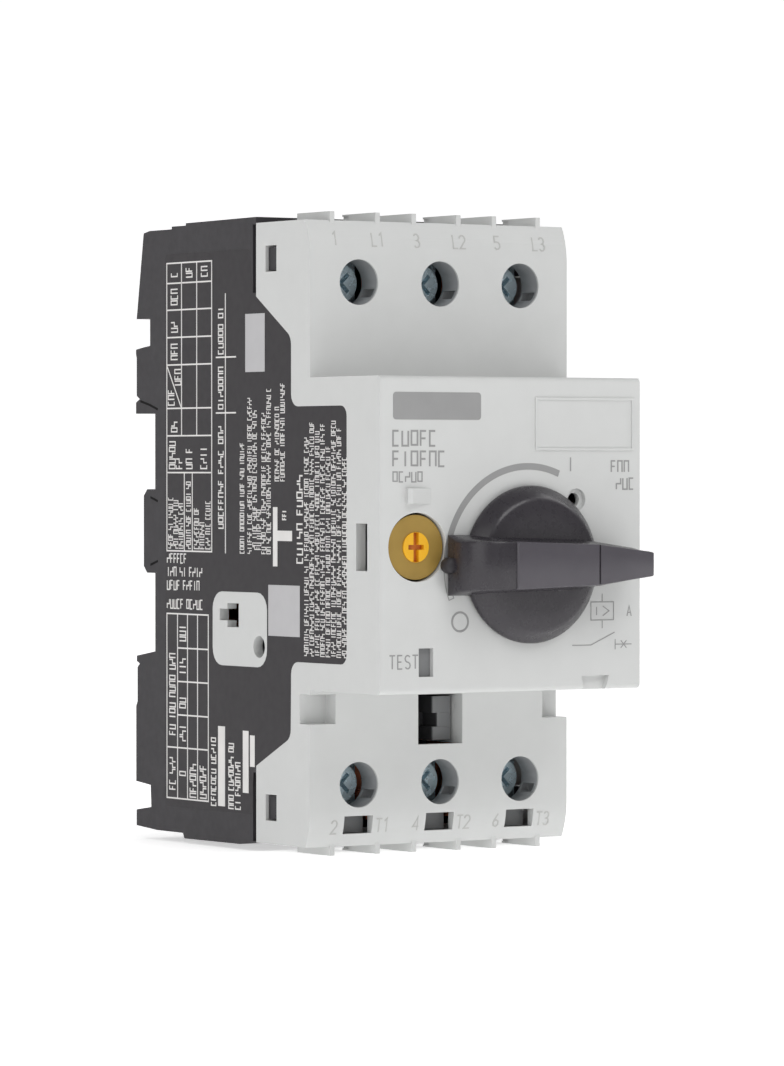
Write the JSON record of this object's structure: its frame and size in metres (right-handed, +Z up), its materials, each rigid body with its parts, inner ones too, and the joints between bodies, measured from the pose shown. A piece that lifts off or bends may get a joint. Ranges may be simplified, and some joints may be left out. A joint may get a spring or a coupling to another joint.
{
  "type": "motor protection breaker",
  "caption": "Three-pole motor protection breaker: black base with rail hooks, light grey cover, rotary handle, setting dial and screw terminals.",
  "frame": {"origin": "centre of the mounting rail seat at the rear, midway between the sides", "axes": "+Z up, +X to the right seen from the front, front panel towards -Y"},
  "size_m": [0.045, 0.0759, 0.093],
  "materials": {
    "black_plastic": "fine matt",
    "light_grey_plastic": "fine matt",
    "label_foil": "smooth printed foil",
    "dark_plastic": "matt",
    "guide_plastic": "matt",
    "handle_plastic": "satin",
    "copper": "bare copper",
    "steel": "satin",
    "brass": "satin",
    "yellow_plastic": "satin",
    "zinc_plated": "blue zinc"
  },
  "bodies": {
    "root": {"base_housing": "black_plastic", "front_cover": "light_grey_plastic", "rating_label": "label_foil", "upper_terminal_guide": "guide_plastic", "lower_terminal_guide": "guide_plastic", "line_conductor_1": "copper", "line_conductor_2": "copper", "line_conductor_3": "copper", "lower_contact_1": "copper", "lower_contact_2": "copper", "lower_contact_3": "copper", "load_conductor_1": "copper", "load_conductor_2": "copper", "load_conductor_3": "copper", "arc_chute_1": "steel", "arc_chute_2": "steel", "arc_chute_3": "steel", "magnet_coil_1": "copper", "magnet_coil_2": "copper", "magnet_coil_3": "copper", "magnet_yoke_1": "steel", "magnet_yoke_2": "steel", "magnet_yoke_3": "steel", "bimetal_1": "steel", "bimetal_2": "steel", "bimetal_3": "steel", "mechanism_frame": "steel", "main_spring": "steel", "latch_pin": "steel", "aux_socket": "dark_plastic", "din_spring": "steel"},
    "handle": {"rotary_handle": "handle_plastic", "handle_shaft": "steel", "drive_cam": "dark_plastic"},
    "contact_carrier": {"contact_bar": "dark_plastic", "moving_contact_1": "copper", "moving_contact_2": "copper", "moving_contact_3": "copper", "contact_springs": "steel"},
    "latch": {"latch_lever": "steel"},
    "dial": {"dial_ring": "brass", "dial_core": "yellow_plastic"},
    "test": {"test_slider": "dark_plastic"},
    "trip": {"trip_bar": "dark_plastic"},
    "rail_slide": {"din_clip": "black_plastic"},
    "armature_1": {"plunger_1": "steel"},
    "armature_2": {"plunger_2": "steel"},
    "armature_3": {"plunger_3": "steel"},
    "clamp_1": {"clamp_plate_1": "zinc_plated"},
    "screw_1": {"terminal_screw_1": "zinc_plated"},
    "clamp_2": {"clamp_plate_2": "zinc_plated"},
    "screw_2": {"terminal_screw_2": "zinc_plated"},
    "clamp_3": {"clamp_plate_3": "zinc_plated"},
    "screw_3": {"terminal_screw_3": "zinc_plated"},
    "clamp_4": {"clamp_plate_4": "zinc_plated"},
    "screw_4": {"terminal_screw_4": "zinc_plated"},
    "clamp_5": {"clamp_plate_5": "zinc_plated"},
    "screw_5": {"terminal_screw_5": "zinc_plated"},
    "clamp_6": {"clamp_plate_6": "zinc_plated"},
    "screw_6": {"terminal_screw_6": "zinc_plated"}
  },
  "joints": [
    {"name": "handle_turn", "type": "hinge", "parent": "root", "child": "handle", "pos_m": [0.0028, -0.0622, -0.00435], "axis": [0, 1, 0], "range_deg": [0, 90]},
    {"name": "contact_travel", "type": "slide", "parent": "root", "child": "contact_carrier", "axis": [0, 1, 0], "range_m": [0, 0.00226]},
    {"name": "latch_swing", "type": "hinge", "parent": "root", "child": "latch", "pos_m": [-0.007, -0.0472, 0.01], "axis": [0, 1, 0], "range_deg": [0, 20]},
    {"name": "dial_turn", "type": "hinge", "parent": "root", "child": "dial", "pos_m": [-0.0162, -0.0612, -0.00175], "axis": [0, 1, 0], "range_deg": [-135, 135]},
    {"name": "test_travel", "type": "slide", "parent": "root", "child": "test", "axis": [0, 0, 1], "range_m": [0, 0.0015], "stiffness_N_per_m": 100},
    {"name": "trip_turn", "type": "hinge", "parent": "root", "child": "trip", "pos_m": [0, -0.0266, -0.006], "axis": [-1, 0, 0], "range_deg": [0, 12], "stiffness_Nm_per_rad": 0.01},
    {"name": "rail_slide_travel", "type": "slide", "parent": "root", "child": "rail_slide", "axis": [0, 0, -1], "range_m": [0, 0.0035], "stiffness_N_per_m": 1500},
    {"name": "armature_1_travel", "type": "slide", "parent": "root", "child": "armature_1", "axis": [0, 1, 0], "range_m": [0, 0.002], "stiffness_N_per_m": 200},
    {"name": "armature_2_travel", "type": "slide", "parent": "root", "child": "armature_2", "axis": [0, 1, 0], "range_m": [0, 0.002], "stiffness_N_per_m": 200},
    {"name": "armature_3_travel", "type": "slide", "parent": "root", "child": "armature_3", "axis": [0, 1, 0], "range_m": [0, 0.002], "stiffness_N_per_m": 200},
    {"name": "clamp_1_travel", "type": "slide", "parent": "root", "child": "clamp_1", "axis": [0, 1, 0], "range_m": [0, 0.0035]},
    {"name": "screw_1_turn", "type": "hinge", "parent": "clamp_1", "child": "screw_1", "pos_m": [-0.0141, -0.0372, 0.0363], "axis": [0, 1, 0], "range_deg": [0, 2520]},
    {"name": "clamp_2_travel", "type": "slide", "parent": "root", "child": "clamp_2", "axis": [0, 1, 0], "range_m": [0, 0.0035]},
    {"name": "screw_2_turn", "type": "hinge", "parent": "clamp_2", "child": "screw_2", "pos_m": [0, -0.0372, 0.0363], "axis": [0, 1, 0], "range_deg": [0, 2520]},
    {"name": "clamp_3_travel", "type": "slide", "parent": "root", "child": "clamp_3", "axis": [0, 1, 0], "range_m": [0, 0.0035]},
    {"name": "screw_3_turn", "type": "hinge", "parent": "clamp_3", "child": "screw_3", "pos_m": [0.0141, -0.0372, 0.0363], "axis": [0, 1, 0], "range_deg": [0, 2520]},
    {"name": "clamp_4_travel", "type": "slide", "parent": "root", "child": "clamp_4", "axis": [0, 1, 0], "range_m": [0, 0.0035]},
    {"name": "screw_4_turn", "type": "hinge", "parent": "clamp_4", "child": "screw_4", "pos_m": [-0.0141, -0.0372, -0.0363], "axis": [0, 1, 0], "range_deg": [0, 2520]},
    {"name": "clamp_5_travel", "type": "slide", "parent": "root", "child": "clamp_5", "axis": [0, 1, 0], "range_m": [0, 0.0035]},
    {"name": "screw_5_turn", "type": "hinge", "parent": "clamp_5", "child": "screw_5", "pos_m": [0, -0.0372, -0.0363], "axis": [0, 1, 0], "range_deg": [0, 2520]},
    {"name": "clamp_6_travel", "type": "slide", "parent": "root", "child": "clamp_6", "axis": [0, 1, 0], "range_m": [0, 0.0035]},
    {"name": "screw_6_turn", "type": "hinge", "parent": "clamp_6", "child": "screw_6", "pos_m": [0.0141, -0.0372, -0.0363], "axis": [0, 1, 0], "range_deg": [0, 2520]}
  ],
  "couplings": [
    {"joint": "contact_travel", "follows": "handle_turn", "m_per_rad": 0.0014324},
    {"joint": "latch_swing", "follows": "handle_turn", "ratio": 0.2},
    {"joint": "screw_1_turn", "follows": "clamp_1_travel", "rad_per_m": 12566},
    {"joint": "screw_2_turn", "follows": "clamp_2_travel", "rad_per_m": 12566},
    {"joint": "screw_3_turn", "follows": "clamp_3_travel", "rad_per_m": 12566},
    {"joint": "screw_4_turn", "follows": "clamp_4_travel", "rad_per_m": 12566},
    {"joint": "screw_5_turn", "follows": "clamp_5_travel", "rad_per_m": 12566},
    {"joint": "screw_6_turn", "follows": "clamp_6_travel", "rad_per_m": 12566}
  ]
}
